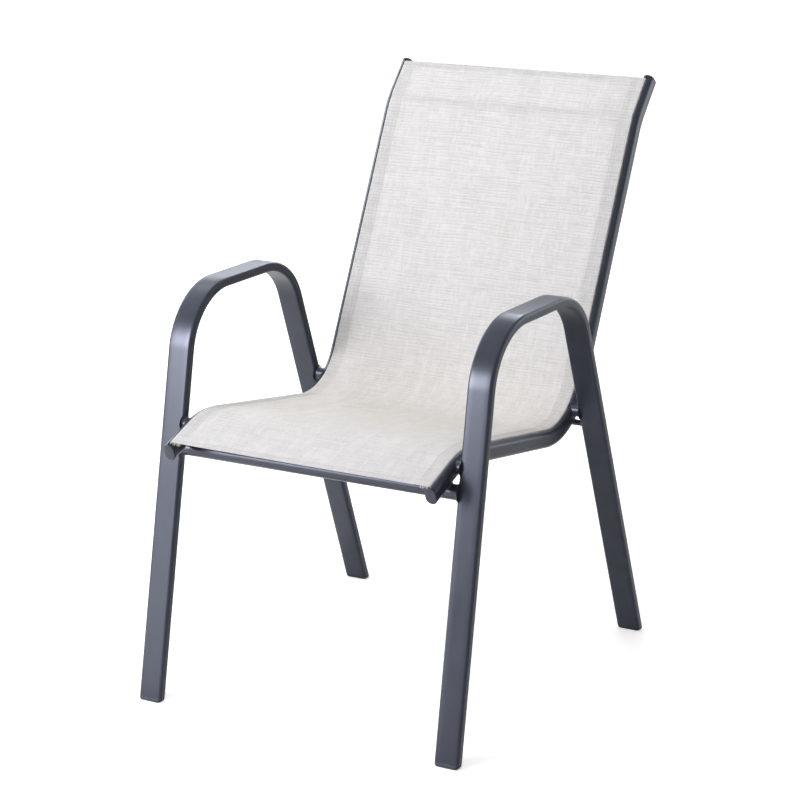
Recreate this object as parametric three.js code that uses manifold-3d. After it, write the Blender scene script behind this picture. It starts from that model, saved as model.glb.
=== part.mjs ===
// A stackable patio armchair: two bent flat-tube loops form the legs and arms, two slotted
// oval rails carry one stretched sling for seat and back, and bars tie the sides together.
// Millimetres, +Z up, the sitter faces -Y, and the origin is on the floor under the middle.

import * as THREE from 'three';
import { mergeVertices } from 'three/addons/utils/BufferGeometryUtils.js';
import Module from 'manifold-3d';

const wasm = await Module();
wasm.setup();

// Clearances
const weldGap = 0.3;
const slipGap = 0.4;
const overrun = 20;

// Arm loops: side-view points are [depth from the front foot, height]
const loopTube = { width: 40, depth: 15, corner: 6, wall: 1.2 };
const frontFootPoint = [0, 0];
const frontArmCorner = [131, 616.5];
const rearArmCorner = [396, 612];
const rearFootPoint = [614, 0];
const frontArmRadius = 106;
const rearArmRadius = 97;
const loopStepDegrees = 9;

// Feet: plugs that close the leg ends and are cut level with the floor
const footHeight = 7;
const footCornerRadius = 5;
const footInsertLength = 22;
const footSideRelief = 0.25;

// Sling rails
const railSpacing = 442;
const railTube = { width: 18, depth: 27, wall: 1.2 };
const noseEnd = [33, 393.6];
const noseCorner = [117, 426];
const seatBackCorner = [465, 367];
const backKinkCorner = [696.6, 822];
const railTopEnd = [750.4, 879.6];
const noseRadius = 124;
const seatBackRadius = 113.5;
const backKinkRadius = 130;
const railStepDegrees = 8;

// The slot along the front of each rail that holds the sling's edge
const slotWidth = 2.6;
const channelDiameter = 8.4;
const channelRoof = 1.5;
const channelFloor = 1.3;

// Rail end caps
const capThickness = 3;
const capEdge = 1;
const capInsertLength = 16;

// Sling and the rods in its two side pockets
const slingThickness = 1.1;
const slingLift = 0.3;
const slingFrontSetback = 3.3;
const slingTopSetback = 8;
const splineDiameter = 5;
const pocketClearance = 0.3;
const pocketWall = 0.8;
const hemWidth = 10;
const hemExtra = 0.7;
const hemSideInset = 12;

// Cross members between the two sides; the lower two stand clear of the rails above them
const frontBar = { diameter: 19, wall: 1.2, railGap: 1.7 };
const rearRod = { diameter: 9.5, railGap: 1 };
const spreaderRod = { diameter: 9.5, fromRailTop: 75 };
const barSides = 24;
const rodSides = 16;

// Spacers welded between each rail and the leg beside it, above the bar on that leg
const sideGap = 10;
const spacerDiameter = 16;
const frontSpacerRise = 35;
const rearSpacerRise = 22;
const spacerSides = 24;
const spacerBite = 4;

// Weld beads: how far a fillet runs along a bar and stands out from it
const filletRun = 3;
const filletRise = 2.6;
const bead = { along: 9, across: 8, out: 4 };
const beadSides = 14;
const beadRows = 8;
const approachSteps = 20;

const frameColour = 0x62666f;
const capColour = 0x3d4046;
const slingColour = 0xe3e1df;
const splineColour = 0xd8d8d6;

const radians = (degrees) => degrees * Math.PI / 180;

// A centre line in the side plane: straight runs between corners, each corner rounded by an arc.
class BentPath extends THREE.Curve {
  constructor(corners, radii, stepDegrees) {
    super();
    this.stations = [];
    const points = corners.map(([y, z]) => new THREE.Vector2(y, z));
    const heading = (i) => points[i + 1].clone().sub(points[i]).normalize();
    const add = (point, tangent) => this.stations.push({ point, tangent });
    add(points[0], heading(0));
    radii.forEach((radius, i) => {
      const before = heading(i);
      const after = heading(i + 1);
      const turn = Math.atan2(before.cross(after), before.dot(after));
      const reach = radius * Math.tan(Math.abs(turn) / 2);
      const start = points[i + 1].clone().addScaledVector(before, -reach);
      const side = new THREE.Vector2(-before.y, before.x).multiplyScalar(Math.sign(turn));
      const centre = start.clone().addScaledVector(side, radius);
      const steps = Math.max(2, Math.round(Math.abs(turn) / radians(stepDegrees)));
      for (let k = 0; k <= steps; k += 1) {
        const angle = turn * k / steps;
        const arm = start.clone().sub(centre).rotateAround(new THREE.Vector2(), angle);
        add(centre.clone().add(arm), before.clone().rotateAround(new THREE.Vector2(), angle));
      }
    });
    add(points.at(-1), heading(points.length - 2));
    this.steps = this.stations.length - 1;
  }

  getPoint(t, target = new THREE.Vector3()) {
    const { point } = this.stations[Math.round(t * this.steps)];
    return target.set(0, point.x, point.y);
  }

  getPointAt(u, target) {
    return this.getPoint(u, target);
  }

  getTangentAt(u, target = new THREE.Vector3()) {
    const { tangent } = this.stations[Math.round(u * this.steps)];
    return target.set(0, tangent.x, tangent.y);
  }

  // The point at a distance back from the last end, with its heading.
  fromEnd(distance) {
    let left = distance;
    for (let i = this.steps; i > 0; i -= 1) {
      const a = this.stations[i];
      const b = this.stations[i - 1];
      const length = a.point.distanceTo(b.point);
      if (left <= length) {
        const share = left / length;
        return {
          point: a.point.clone().lerp(b.point, share),
          tangent: a.tangent.clone().lerp(b.tangent, share).normalize(),
        };
      }
      left -= length;
    }
    throw new Error('The distance is longer than the path.');
  }
}

// A point moved along the line to another point, for extending or shortening an end run.
function shifted(point, toward, distance) {
  const run = Math.hypot(toward[0] - point[0], toward[1] - point[1]);
  return point.map((value, i) => value + (toward[i] - value) * distance / run);
}

// The point on the straight line through two side-view points at a given height.
function atHeight(lower, upper, height) {
  const share = (height - lower[1]) / (upper[1] - lower[1]);
  return [lower[0] + (upper[0] - lower[0]) * share, height];
}

// Part of a circle as points, both ends included.
function arcPoints(cx, cy, radius, fromDegrees, toDegrees, steps) {
  return Array.from({ length: steps + 1 }, (_, k) => {
    const angle = radians(fromDegrees + (toDegrees - fromDegrees) * k / steps);
    return new THREE.Vector2(cx + radius * Math.cos(angle), cy + radius * Math.sin(angle));
  });
}

// A rounded rectangle, anticlockwise, centred on the origin.
function roundedOutline(width, depth, corner, cornerSteps) {
  const x = width / 2 - corner;
  const y = depth / 2 - corner;
  return [
    ...arcPoints(x, y, corner, 0, 90, cornerSteps),
    ...arcPoints(-x, y, corner, 90, 180, cornerSteps),
    ...arcPoints(-x, -y, corner, 180, 270, cornerSteps),
    ...arcPoints(x, -y, corner, 270, 360, cornerSteps),
  ];
}

// The rail's flat-sided oval, anticlockwise, grown by a margin on every side.
function ovalOutline(grow, steps) {
  const radius = railTube.width / 2 + grow;
  const y = (railTube.depth - railTube.width) / 2;
  return [
    ...arcPoints(0, y, radius, 0, 180, steps),
    ...arcPoints(0, -y, radius, 180, 360, steps),
  ];
}

function swept(outline, path, holes = []) {
  const shape = new THREE.Shape(outline);
  shape.holes = holes.map((hole) => new THREE.Path(hole));
  return new THREE.ExtrudeGeometry(shape, { steps: path.steps, extrudePath: path });
}

// Booleans
function toSolid(geometry) {
  const bare = geometry.clone();
  bare.deleteAttribute('normal');
  bare.deleteAttribute('uv');
  const merged = mergeVertices(bare);
  return new wasm.Manifold(new wasm.Mesh({
    numProp: 3,
    vertProperties: new Float32Array(merged.attributes.position.array),
    triVerts: new Uint32Array(merged.index.array),
  }));
}

function toGeometry(solid) {
  const mesh = solid.getMesh();
  const geometry = new THREE.BufferGeometry();
  geometry.setAttribute('position', new THREE.BufferAttribute(mesh.vertProperties, 3));
  geometry.setIndex(new THREE.BufferAttribute(mesh.triVerts, 1));
  const flat = geometry.toNonIndexed();
  flat.computeVertexNormals();
  return flat;
}

// A box between two heights that is wider and deeper than the whole chair.
function slab(bottom, top) {
  const reach = 2 * rearFootPoint[0];
  const box = new THREE.BoxGeometry(2 * reach, 2 * reach, top - bottom);
  return toSolid(box.translate(0, 0, (bottom + top) / 2));
}

const chair = new THREE.Group();

function addPart(name, geometry, colour, roughness, metalness, x = 0) {
  const material = new THREE.MeshStandardMaterial({ color: colour, roughness, metalness });
  const mesh = new THREE.Mesh(geometry, material);
  mesh.name = name;
  mesh.position.x = x;
  chair.add(mesh);
  return mesh;
}

const addFramePart = (name, geometry, x) => addPart(name, geometry, frameColour, 0.45, 0.6, x);
const addPlasticPart = (name, geometry, x) => addPart(name, geometry, capColour, 0.6, 0, x);
const sides = [['left', -1], ['right', 1]];
const loopSpacing = railSpacing + railTube.width + 2 * sideGap + loopTube.width;

// Arm loops
const loopCorners = [
  shifted(frontFootPoint, frontArmCorner, -overrun),
  frontArmCorner,
  rearArmCorner,
  shifted(rearFootPoint, rearArmCorner, -overrun),
];
const loopPath = new BentPath(loopCorners, [frontArmRadius, rearArmRadius], loopStepDegrees);
const loopOutline = (grow, steps) => roundedOutline(
  loopTube.width + 2 * grow,
  loopTube.depth + 2 * grow,
  loopTube.corner + grow,
  steps,
);
const loopSolid = toSolid(swept(loopOutline(0, 4), loopPath, [loopOutline(-loopTube.wall, 3)]))
  .subtract(slab(-2 * overrun, footHeight + weldGap));
sides.forEach(([side, sign]) => {
  addFramePart(`${side}_arm_loop`, toGeometry(loopSolid), sign * loopSpacing / 2);
});

// Feet
const legs = [
  ['front', frontFootPoint, frontArmCorner],
  ['rear', rearFootPoint, rearArmCorner],
];
legs.forEach(([end, foot, corner]) => {
  const below = shifted(foot, corner, -overrun);
  const above = shifted(foot, corner, footHeight + footInsertLength);
  const legPath = new BentPath([below, above], [], loopStepDegrees);
  const insertGrow = -(loopTube.wall + slipGap);
  const insert = toSolid(swept(loopOutline(insertGrow, 3), legPath))
    .intersect(slab(footHeight / 2, footHeight + footInsertLength));
  const full = toSolid(swept(loopOutline(0, 4), legPath)).intersect(slab(0, footHeight));
  // The foot's front view: upright sides and rounded lower corners.
  const halfWidth = loopTube.width / 2;
  const view = new THREE.Shape([
    ...arcPoints(-halfWidth + footCornerRadius, footCornerRadius, footCornerRadius, 180, 270, 4),
    ...arcPoints(halfWidth - footCornerRadius, footCornerRadius, footCornerRadius, 270, 360, 4),
    new THREE.Vector2(halfWidth, footHeight),
    new THREE.Vector2(-halfWidth, footHeight),
  ]);
  const viewDepth = 4 * loopTube.depth;
  const rounding = new THREE.ExtrudeGeometry(view, { depth: viewDepth, bevelEnabled: false })
    .rotateX(radians(90))
    .translate(0, foot[0] + viewDepth / 2, 0)
    .scale(1 - footSideRelief / halfWidth, 1, 1);
  const solid = full.intersect(toSolid(rounding)).add(insert);
  sides.forEach(([side, sign]) => {
    addPlasticPart(`${end}_${side}_foot`, toGeometry(solid), sign * loopSpacing / 2);
  });
});

// Sling rails
const railCorners = [noseEnd, noseCorner, seatBackCorner, backKinkCorner, railTopEnd];
const railRadii = [noseRadius, seatBackRadius, backKinkRadius];
const railPath = new BentPath(railCorners, railRadii, railStepDegrees);
const railRadius = railTube.width / 2;
const railArcCentre = (railTube.depth - railTube.width) / 2;
const channelRadius = channelDiameter / 2;
const channelCentre = railTube.depth / 2 - channelRoof - channelRadius;
const degreesFromTop = (radius) => Math.asin(slotWidth / 2 / radius) * 180 / Math.PI;
const lipTurn = degreesFromTop(railRadius);
const throatTurn = degreesFromTop(channelRadius);
const slottedOval = [
  ...arcPoints(0, railArcCentre, railRadius, 90 + lipTurn, 180, 5),
  ...arcPoints(0, -railArcCentre, railRadius, 180, 360, 10),
  ...arcPoints(0, railArcCentre, railRadius, 0, 90 - lipTurn, 5),
  ...arcPoints(0, channelCentre, channelRadius, 90 - throatTurn, -270 + throatTurn, 10),
];
const hollowTop = channelCentre - channelRadius - channelFloor;
const hollowOutline = (shrink) => [
  new THREE.Vector2(railRadius - railTube.wall - shrink, hollowTop - shrink),
  new THREE.Vector2(-(railRadius - railTube.wall - shrink), hollowTop - shrink),
  ...arcPoints(0, -railArcCentre, railRadius - railTube.wall - shrink, 180, 360, 8),
];
const railGeometry = swept(slottedOval, railPath, [hollowOutline(0)]);
sides.forEach(([side, sign]) => {
  addFramePart(`${side}_sling_rail`, railGeometry.clone(), sign * railSpacing / 2);
});

// Rail end caps: a flat head with a softened edge and a plug that fits the rail's hollow.
const headBevel = {
  depth: capThickness - 2 * capEdge,
  bevelSize: capEdge,
  bevelOffset: -capEdge,
  bevelThickness: capEdge,
  bevelSegments: 2,
};
const head = new THREE.ExtrudeGeometry(new THREE.Shape(ovalOutline(0, 10)), headBevel)
  .translate(0, 0, capEdge + weldGap);
const plugLength = capInsertLength + capThickness / 2;
const plug = new THREE.ExtrudeGeometry(
  new THREE.Shape(hollowOutline(slipGap)),
  { depth: plugLength, bevelEnabled: false },
).translate(0, 0, -capInsertLength);
const capGeometry = toGeometry(toSolid(head).add(toSolid(plug)));
const railEnds = [
  ['nose', railPath.stations[0], -1],
  ['top', railPath.stations.at(-1), 1],
];
railEnds.forEach(([end, { point, tangent }, direction]) => {
  const outward = new THREE.Vector3(0, tangent.x, tangent.y).multiplyScalar(direction);
  const seatward = new THREE.Vector3(0, -tangent.y, tangent.x);
  const across = new THREE.Vector3().crossVectors(seatward, outward);
  const turn = new THREE.Matrix4().makeBasis(across, seatward, outward);
  sides.forEach(([side, sign]) => {
    const cap = addPlasticPart(`${side}_${end}_cap`, capGeometry.clone(), sign * railSpacing / 2);
    cap.position.set(sign * railSpacing / 2, point.x, point.y);
    cap.quaternion.setFromRotationMatrix(turn);
  });
});

// Sling: a flat sheet whose side edges pass down through the slots into pockets round the rods.
const slingCorners = [
  shifted(noseEnd, noseCorner, slingFrontSetback),
  noseCorner,
  seatBackCorner,
  backKinkCorner,
  shifted(railTopEnd, backKinkCorner, slingTopSetback),
];
const slingPath = new BentPath(slingCorners, railRadii, railStepDegrees);
const slingUnderside = railTube.depth / 2 + slingLift;
const slingTopside = slingUnderside + slingThickness;
const pocketRadius = splineDiameter / 2 + pocketClearance;
const pocketOuter = pocketRadius + pocketWall;
const neckTurn = Math.asin(slingThickness / 2 / pocketOuter) * 180 / Math.PI;
const edge = railSpacing / 2;
const neck = slingThickness / 2;
const slingOutline = [
  new THREE.Vector2(edge + neck, slingTopside),
  new THREE.Vector2(-edge - neck, slingTopside),
  ...arcPoints(-edge, channelCentre, pocketOuter, 90 + neckTurn, 450 - neckTurn, 9),
  new THREE.Vector2(-edge + neck, slingUnderside),
  new THREE.Vector2(edge - neck, slingUnderside),
  ...arcPoints(edge, channelCentre, pocketOuter, 90 + neckTurn, 450 - neckTurn, 9),
];
const pocket = (x) => arcPoints(x, channelCentre, pocketRadius, 360, 45, 7);
const sheet = toSolid(swept(slingOutline, slingPath, [pocket(-edge), pocket(edge)]));

// The cloth is turned under at its top and front edges.
const hemHalfWidth = edge - hemSideInset;
const hemOutline = [
  new THREE.Vector2(-hemHalfWidth, slingUnderside - hemExtra),
  new THREE.Vector2(hemHalfWidth, slingUnderside - hemExtra),
  new THREE.Vector2(hemHalfWidth, slingTopside - slingThickness / 2),
  new THREE.Vector2(-hemHalfWidth, slingTopside - slingThickness / 2),
];
const hem = (from, toward) => {
  const path = new BentPath([from, shifted(from, toward, hemWidth)], [], railStepDegrees);
  return toSolid(swept(hemOutline, path));
};
const topEdge = slingCorners.at(-1);
const topHem = hem(shifted(topEdge, backKinkCorner, hemWidth), railTopEnd);
const frontHem = hem(slingCorners[0], noseCorner);
const slingSolid = sheet.add(topHem).add(frontHem);
addPart('sling', toGeometry(slingSolid), slingColour, 0.85, 0);

const splineOutline = arcPoints(0, channelCentre, splineDiameter / 2, 0, 315, 7);
const splineGeometry = swept(splineOutline, slingPath);
sides.forEach(([side, sign]) => {
  const x = sign * railSpacing / 2;
  addPart(`${side}_sling_spline`, splineGeometry.clone(), splineColour, 0.7, 0, x);
});

// Solid shapes of the rails and legs, slightly grown, that trim whatever is welded to them.
const railTrim = toSolid(swept(ovalOutline(weldGap, 10), railPath));
const loopTrim = toSolid(swept(loopOutline(weldGap, 4), loopPath));
const bothSides = (solid, spacing) => solid.translate([-spacing / 2, 0, 0])
  .add(solid.translate([spacing / 2, 0, 0]));
const railTrims = bothSides(railTrim, railSpacing);
const loopTrims = bothSides(loopTrim, loopSpacing);

// A body turned round an axis parallel to X, given as [x, radius] pairs.
function turnedAlongX(profile, segments, [y, z]) {
  const points = profile.map(([x, radius]) => new THREE.Vector2(radius, x));
  return new THREE.LatheGeometry(points, segments).rotateZ(radians(-90)).translate(0, y, z);
}

// A plain bar, thickened by a weld fillet where it runs into the side pieces at +-reach.
function weldedBar(radius, reach, bite, segments, centre) {
  const foot = reach - filletRun;
  const tip = reach + bite;
  return toSolid(turnedAlongX([
    [-tip, 0],
    [-tip, radius + filletRise],
    [-reach, radius + filletRise],
    [-foot, radius],
    [foot, radius],
    [reach, radius + filletRise],
    [tip, radius + filletRise],
    [tip, 0],
  ], segments, centre));
}

// A flattened bead of weld on a rail's underside, centred at x.
function weldBead(x, point, normal) {
  const ball = new THREE.SphereGeometry(1, beadSides, beadRows)
    .scale(bead.along, bead.across, bead.out)
    .rotateX(Math.atan2(normal.y, normal.x) - radians(90))
    .translate(x, point.x, point.y);
  return toSolid(ball);
}

// The point of the rail's centre line that is closest to a bar.
function nearestOnRail([y, z]) {
  const bar = new THREE.Vector2(y, z);
  const options = railPath.stations.slice(1).map(({ point }, i) => {
    const start = railPath.stations[i].point;
    const run = point.clone().sub(start);
    const share = THREE.MathUtils.clamp(bar.clone().sub(start).dot(run) / run.lengthSq(), 0, 1);
    return start.clone().addScaledVector(run, share);
  });
  return options.reduce((a, b) => (a.distanceTo(bar) < b.distanceTo(bar) ? a : b));
}

// Goes up a leg until a bar of that radius is only the gap away from the rail above it.
function belowRail(foot, corner, radius, gap) {
  const clear = (centre) => nearestOnRail(centre).distanceTo(new THREE.Vector2(...centre))
    - railTube.depth / 2 - radius - gap;
  let centre = foot;
  for (let i = 0; i < approachSteps; i += 1) centre = shifted(centre, corner, clear(centre));
  return centre;
}

function addBeadsUnderRails(solid, centre, radius) {
  const near = nearestOnRail(centre);
  const bar = new THREE.Vector2(...centre);
  const normal = near.clone().sub(bar).normalize();
  const contact = bar.clone().addScaledVector(normal, radius);
  return sides.reduce((whole, [, sign]) => (
    whole.add(weldBead(sign * railSpacing / 2, contact, normal))
  ), solid);
}

const legFace = (loopSpacing - loopTube.width) / 2;
const frontBarRadius = frontBar.diameter / 2;
const frontBarCentre = belowRail(frontFootPoint, frontArmCorner, frontBarRadius, frontBar.railGap);
const frontBarBore = toSolid(turnedAlongX([
  [-legFace - overrun, 0],
  [-legFace - overrun, frontBarRadius - frontBar.wall],
  [legFace + overrun, frontBarRadius - frontBar.wall],
  [legFace + overrun, 0],
], barSides, frontBarCentre));
const frontBarOutside = weldedBar(frontBarRadius, legFace, filletRun, barSides, frontBarCentre);
const frontBarSolid = addBeadsUnderRails(frontBarOutside, frontBarCentre, frontBarRadius)
  .subtract(railTrims)
  .subtract(loopTrims)
  .subtract(frontBarBore);
addFramePart('front_crossbar', toGeometry(frontBarSolid));

const rearRodRadius = rearRod.diameter / 2;
const rearRodCentre = belowRail(rearFootPoint, rearArmCorner, rearRodRadius, rearRod.railGap);
const rearRodOutside = weldedBar(rearRodRadius, legFace, filletRun, rodSides, rearRodCentre);
const rearRodSolid = addBeadsUnderRails(rearRodOutside, rearRodCentre, rearRodRadius)
  .subtract(railTrims)
  .subtract(loopTrims);
addFramePart('rear_cross_rod', toGeometry(rearRodSolid));

// The spreader lies just behind the sling and keeps the rails apart near the top.
const spreaderStation = railPath.fromEnd(spreaderRod.fromRailTop);
const spreaderRadius = spreaderRod.diameter / 2;
const spreaderOffset = railTube.depth / 2 - spreaderRadius - slingLift;
const spreaderCentre = [
  spreaderStation.point.x - spreaderStation.tangent.y * spreaderOffset,
  spreaderStation.point.y + spreaderStation.tangent.x * spreaderOffset,
];
const railInnerFace = (railSpacing - railTube.width) / 2;
const spreaderFillet = spreaderRod.diameter / 4;
const spreader = toSolid(turnedAlongX([
  [-railInnerFace - spreaderFillet, 0],
  [-railInnerFace - spreaderFillet, spreaderRadius],
  [railInnerFace + spreaderFillet, spreaderRadius],
  [railInnerFace + spreaderFillet, 0],
], rodSides, spreaderCentre)).subtract(railTrims);
addFramePart('back_spreader_rod', toGeometry(spreader));

// Spacers between rail and leg, with a weld fillet at each end
const railOuterFace = (railSpacing + railTube.width) / 2;
const spacerRadius = spacerDiameter / 2;
const spacers = [
  ['front', atHeight(frontFootPoint, frontArmCorner, frontBarCentre[1] + frontSpacerRise)],
  ['rear', atHeight(rearFootPoint, rearArmCorner, rearRodCentre[1] + rearSpacerRise)],
];
spacers.forEach(([end, centre]) => {
  const profile = [
    [railOuterFace - spacerBite, 0],
    [railOuterFace - spacerBite, spacerRadius + filletRise],
    [railOuterFace, spacerRadius + filletRise],
    [railOuterFace + filletRun, spacerRadius],
    [legFace - filletRun, spacerRadius],
    [legFace, spacerRadius + filletRise],
    [legFace + spacerBite, spacerRadius + filletRise],
    [legFace + spacerBite, 0],
  ];
  const solid = toSolid(turnedAlongX(profile, spacerSides, centre))
    .subtract(railTrims)
    .subtract(loopTrims);
  addFramePart(`${end}_right_spacer`, toGeometry(solid));
  addFramePart(`${end}_left_spacer`, toGeometry(solid.mirror([1, 0, 0])));
});

// The origin goes on the floor under the middle of the chair.
const bounds = new THREE.Box3().setFromObject(chair, true);
const middle = bounds.getCenter(new THREE.Vector3());
chair.position.set(-middle.x, -middle.y, -bounds.min.z);
chair.updateMatrixWorld(true);

export default chair;
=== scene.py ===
import math

import bpy
import numpy as np
from mathutils import Matrix, Vector
from mathutils.geometry import tessellate_polygon


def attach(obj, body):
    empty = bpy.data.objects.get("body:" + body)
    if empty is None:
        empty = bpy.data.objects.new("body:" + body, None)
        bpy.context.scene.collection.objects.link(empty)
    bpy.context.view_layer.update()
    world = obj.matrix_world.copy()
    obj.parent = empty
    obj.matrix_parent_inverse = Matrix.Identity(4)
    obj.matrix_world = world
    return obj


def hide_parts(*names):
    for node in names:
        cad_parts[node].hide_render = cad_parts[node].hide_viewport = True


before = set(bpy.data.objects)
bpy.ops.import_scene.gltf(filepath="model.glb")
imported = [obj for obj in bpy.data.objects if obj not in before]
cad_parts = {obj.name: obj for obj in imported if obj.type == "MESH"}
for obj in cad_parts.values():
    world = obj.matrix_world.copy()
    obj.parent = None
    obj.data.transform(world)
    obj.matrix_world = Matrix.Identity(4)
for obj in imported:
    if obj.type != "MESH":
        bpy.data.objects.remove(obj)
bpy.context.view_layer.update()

mm = 0.001
sides = (("left", -1), ("right", 1))
scene = bpy.context.scene

# Shapes are worked out in mm. Side-view points are [depth from the front foot, height].
frontFootDepth = -377.217  # where the front foot's middle stands along Y
print("frame loaded:", len(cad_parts), "nodes")

# The camera's place in metres, its three axes, and its lens and sensor in mm
camera = {
    "place": (1.8960, -3.2846, 1.5236),
    "right": (0.86473, 0.50199, -0.01578),
    "up": (-0.12764, 0.25006, 0.95978),
    "back": (0.48574, -0.82794, 0.28031),
    "lens": 113.694,
    "sensor": 36,
    "clip": (0.1, 60),
}
cameraData = bpy.data.cameras.new("camera")
cameraData.lens = camera["lens"]
cameraData.sensor_width = camera["sensor"]
cameraData.clip_start, cameraData.clip_end = camera["clip"]
cameraObject = bpy.data.objects.new("camera", cameraData)
cameraTurn = Matrix([camera[axis] for axis in ("right", "up", "back")]).transposed()
cameraObject.matrix_world = Matrix.Translation(camera["place"]) @ cameraTurn.to_4x4()
scene.collection.objects.link(cameraObject)
scene.camera = cameraObject


def arc(cx, cy, radius, start, end, steps):
    # centre + radius * (cos a, sin a), a growing evenly from start to end
    angle = np.radians(np.linspace(start, end, steps + 1))
    return np.stack([cx + radius * np.cos(angle), cy + radius * np.sin(angle)], 1)


def quarterTurn(vectors):
    return np.stack([-vectors[:, 1], vectors[:, 0]], 1)


def atLevel(spots, level):
    return np.column_stack([spots, np.full(len(spots), level)])


def runLength(points):
    # How far along the line each of its points lies
    return np.concatenate([[0], np.cumsum(np.linalg.norm(np.diff(points, axis=0), axis=1))])


def bentLine(corners, radii, runStep, arcStep=1.5):
    # Straight runs between corners, and at each corner centre + radius * (cos, sin) of a turning angle
    corners = np.array(corners, float)
    heading = np.diff(corners, axis=0)
    heading /= np.linalg.norm(heading, axis=1, keepdims=True)
    side = quarterTurn(heading)
    turns = np.arctan2((side[:-1] * heading[1:]).sum(1), (heading[:-1] * heading[1:]).sum(1))
    at, along, start = [], [], corners[0]
    for i in range(len(heading)):
        last = i == len(radii)
        reach = 0 if last else radii[i] * math.tan(abs(turns[i]) / 2)
        end = corners[i + 1] - heading[i] * reach
        count = max(1, round(np.linalg.norm(end - start) / runStep))
        share = np.linspace(0, 1, count + 1)[(None if i == 0 else 1):, None]
        at.append(start + (end - start) * share)
        along.append(np.repeat(heading[i][None], len(share), 0))
        if not last:
            steps = max(2, round(abs(math.degrees(turns[i])) / arcStep))
            angle = np.linspace(0, turns[i], steps + 1)[1:, None]
            inward = side[i] * np.sign(turns[i])
            swing = heading[i] * np.sin(np.abs(angle)) - inward * np.cos(angle)
            at.append(end + inward * radii[i] + radii[i] * swing)
            along.append(heading[i] * np.cos(angle) + side[i] * np.sin(angle))
            start = at[-1][-1]
    at, along = np.concatenate(at), np.concatenate(along)
    return {"at": at, "along": along, "out": quarterTurn(along), "length": runLength(at)}


def standing(x, spots):
    # Side-view points set at x
    grid = np.empty((*spots.shape[:-1], 3))
    grid[..., 0], grid[..., 1:] = x, spots
    return grid


def carried(line, section, x=0.0):
    # point(i, j) = line point i + section x along X + section y along the line's seat-side normal
    return standing(x + section[:, 0], line["at"][:, None] + line["out"][:, None] * section[:, 1:2])


def roundedOutline(width, depth, corner, steps=7, flats=3):
    # Four quarter arcs of one radius at the corners of a rectangle, with points added on its flats
    x, y = width / 2 - corner, depth / 2 - corner
    middles = ((x, y), (-x, y), (-x, -y), (x, -y))
    parts = [arc(*middle, corner, 90 * k, 90 * k + 90, steps) for k, middle in enumerate(middles)]
    share = np.linspace(0, 1, flats + 2)[1:-1, None]
    filled = []
    for i, part in enumerate(parts):
        nextStart = parts[(i + 1) % 4][0]
        filled += [part, part[-1] + (nextStart - part[-1]) * share]
    return np.concatenate(filled)


# The least spacing that counts, in mm, and how exposed a turn of 1 radian per mm makes a point
rubbing = {"spacing": 0.3, "gain": 5}


def rubbed(section):
    # 1 at the middle of a rounded corner, 0 on a flat: from how much the outline turns per mm at each point
    back, ahead = section - np.roll(section, 1, 0), np.roll(section, -1, 0) - section
    turn = np.abs(np.arctan2(back[:, 0] * ahead[:, 1] - back[:, 1] * ahead[:, 0], (back * ahead).sum(1)))
    spacing = (np.linalg.norm(back, axis=1) + np.linalg.norm(ahead, axis=1)) / 2
    bend = turn / np.maximum(rubbing["spacing"], spacing)
    spread = (bend + np.roll(bend, 1) + np.roll(bend, -1)) / 3
    return np.clip(spread * rubbing["gain"], 0, 1)


def quads(rows, columns, ringRows=False, first=0):
    # Faces of a grid counted row by row, each row a ring; ringRows joins the last row to the first
    i = np.arange(rows if ringRows else rows - 1)[:, None]
    j = np.arange(columns)[None, :]
    below, beside = (i + 1) % rows, (j + 1) % columns
    corners = [i * columns + j, i * columns + beside, below * columns + beside, below * columns + j]
    return (np.stack(corners, -1).reshape(-1, 4) + first).tolist()


def outwards(points, faces):
    # Summed over the triangles, a . (b x c) is positive if they point outwards; else all turn over
    points = np.array(points, float).reshape(-1, 3)
    points -= points.mean(0)
    total = 0.0
    for size in {len(f) for f in faces}:
        corner = points[np.array([f for f in faces if len(f) == size])]
        for k in range(1, size - 1):
            total += np.einsum("ij,ij->", corner[:, 0], np.cross(corner[:, k], corner[:, k + 1]))
    return faces if total > 0 else [tuple(f)[::-1] for f in faces]


def capped(grid):
    # Faces of a row of rings, with the two end rings triangulated
    rows, columns = grid.shape[:2]
    faces = quads(rows, columns)
    for row in (0, rows - 1):
        for t in tessellate_polygon([[Vector(p) for p in grid[row]]]):
            tri = tuple(row * columns + k for k in t)
            faces.append(tri if row else tri[::-1])
    return outwards(grid, faces)


def folded(grid):
    # Faces of a sheet whose rows run out along one side and back along the other, closed at its two ends
    rows, columns = grid.shape[:2]
    j = np.arange(columns // 2 - 1)
    pair = np.stack([j, j + 1, columns - 2 - j, columns - 1 - j], 1)
    return outwards(grid, quads(rows, columns) + pair.tolist() + (pair + (rows - 1) * columns)[:, ::-1].tolist())


def joined(grids):
    # Several capped grids as one list of points and one of faces
    points, faces, first = [], [], 0
    for grid in grids:
        faces += [tuple(k + first for k in f) for f in capped(grid)]
        points.append(grid.reshape(-1, 3))
        first += len(points[-1])
    return np.concatenate(points), faces


def built(made, surface, *look):
    # Clears a material's or world's node tree and connects what surface makes in it to the output
    made.use_nodes = True
    tree = made.node_tree
    tree.nodes.clear()
    output = tree.nodes.new("ShaderNodeOutput" + type(made).__name__)
    tree.links.new(surface(tree, *look), output.inputs[0])
    return made


def node(tree, kind, settings=None, **inputs):
    # An input is given by its name, with _ for a space, or by its number after an i
    made = tree.nodes.new("ShaderNode" + kind)
    for key, value in (settings or {}).items():
        setattr(made, key, value)
    for key, value in inputs.items():
        socket = made.inputs[int(key[1:]) if key[1:].isdigit() else key.replace("_", " ")]
        if isinstance(value, bpy.types.NodeSocket):
            tree.links.new(value, socket)
        else:
            socket.default_value = value
    return made


def maths(tree, operation, a, b=0.0, c=0.0):
    return node(tree, "Math", {"operation": operation}, i0=a, i1=b, i2=c).outputs[0]


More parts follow.
